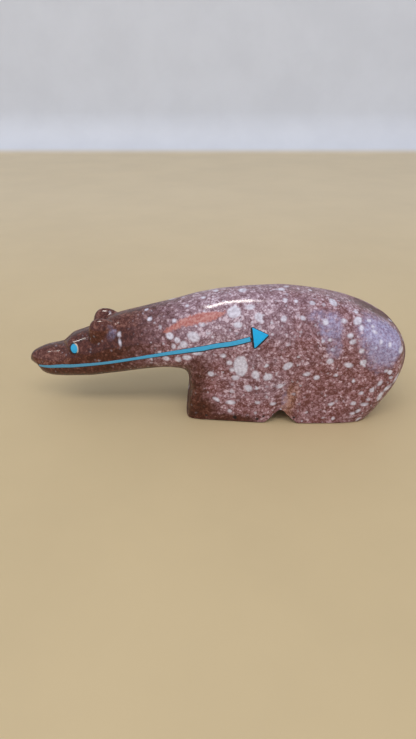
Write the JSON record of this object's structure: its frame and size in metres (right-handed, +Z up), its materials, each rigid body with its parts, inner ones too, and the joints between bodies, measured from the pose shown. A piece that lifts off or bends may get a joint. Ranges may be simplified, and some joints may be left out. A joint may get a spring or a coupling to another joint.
{
  "type": "carved stone bear fetish",
  "caption": "Small polished stone bear with its neck stretched forward and a turquoise heartline, arrowhead and eye inlaid in each side",
  "frame": {"origin": "on the ground, under the middle of the carving's box", "axes": "+Z up, the head points along -X, the left side faces -Y"},
  "size_m": [0.09, 0.02, 0.0305],
  "materials": {
    "stone": "polished speckled red-brown stone with pale flecks",
    "turquoise": "polished sky blue turquoise inlay"
  },
  "bodies": {
    "root": {"stone_bear": "stone", "heartline_left": "turquoise", "arrowhead_left": "turquoise", "eye_left": "turquoise", "heartline_right": "turquoise", "arrowhead_right": "turquoise", "eye_right": "turquoise"}
  },
  "joints": []
}
